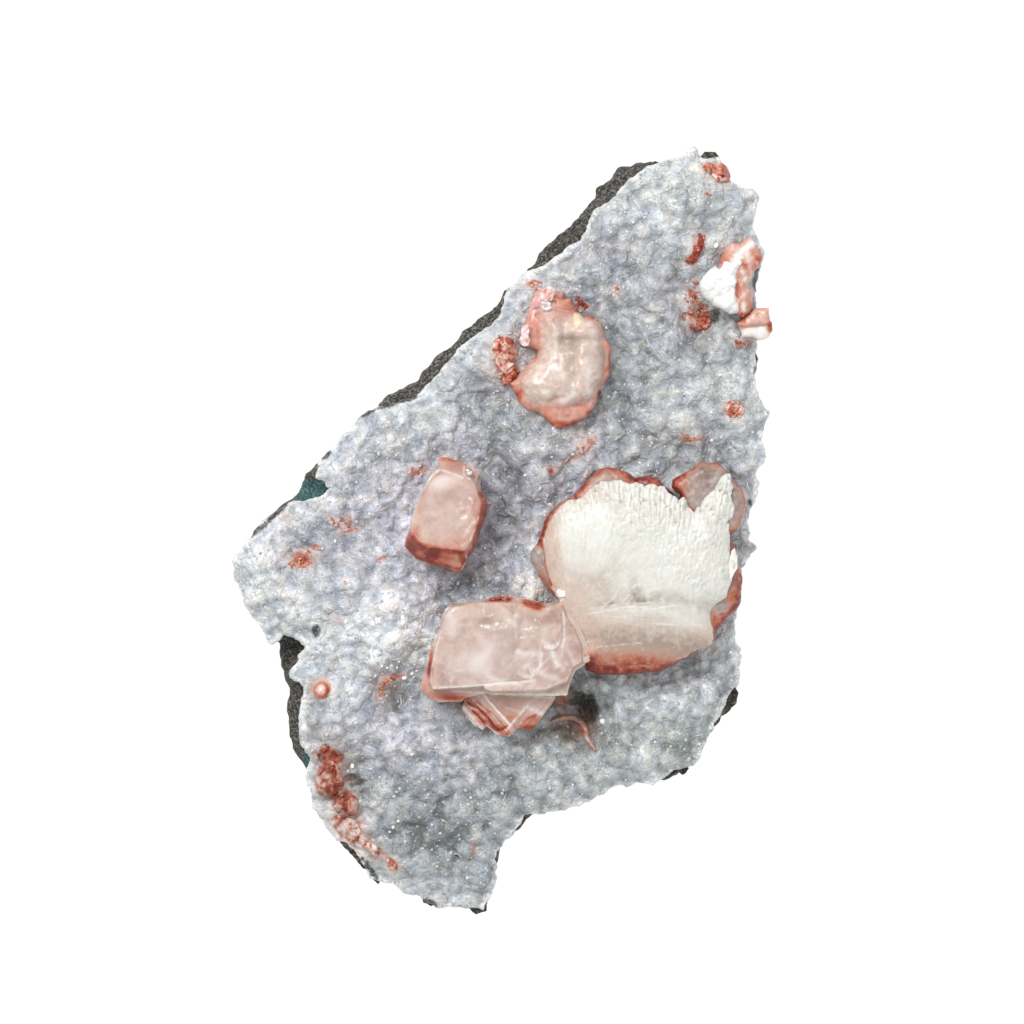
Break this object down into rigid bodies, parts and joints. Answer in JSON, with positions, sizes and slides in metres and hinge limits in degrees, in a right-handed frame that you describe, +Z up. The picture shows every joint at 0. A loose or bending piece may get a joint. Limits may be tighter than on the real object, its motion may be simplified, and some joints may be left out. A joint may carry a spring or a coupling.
{
  "type": "apophyllite specimen",
  "caption": "Mineral specimen lying on its back: a broken basalt slab under a druse crust of chalcedony, with a white sheaf, a peach block and smaller peach, white and red crystals grown on it.",
  "frame": {"origin": "middle of the specimen's outline seen from above, on the plane that it rests on", "axes": "+Y along the slab's length, +X across it, +Z up, from the flat underside towards the crystals"},
  "size_m": [0.1052, 0.1494, 0.039],
  "materials": {
    "basalt": "rough broken dark grey basalt with green and brown specks",
    "chalcedony": "pale grey-blue translucent druse with a fine sparkle",
    "white_crystal": "powdery white, silky along its fibres, with red-brown rims",
    "peach_crystal": "cloudy peach crystal with glossy flat faces",
    "cream_crystal": "cream to peach, waxy, with an orange-red rim",
    "red_crystal": "red-brown to orange, glossy small faces"
  },
  "bodies": {
    "root": {"basalt_matrix": "basalt", "chalcedony_crust": "chalcedony", "sheaf_crystal": "white_crystal", "block_crystal": "peach_crystal", "tabular_crystal": "peach_crystal", "fan_crystal": "cream_crystal", "white_capped_crystal": "white_crystal", "edge_crystal": "peach_crystal", "red_tuft_crystal": "red_crystal", "red_cluster": "red_crystal", "red_crescent": "red_crystal", "corner_crystal": "red_crystal", "ring_crystal": "peach_crystal", "red_ridge": "red_crystal", "cave_rim_crystal": "red_crystal"}
  },
  "joints": []
}
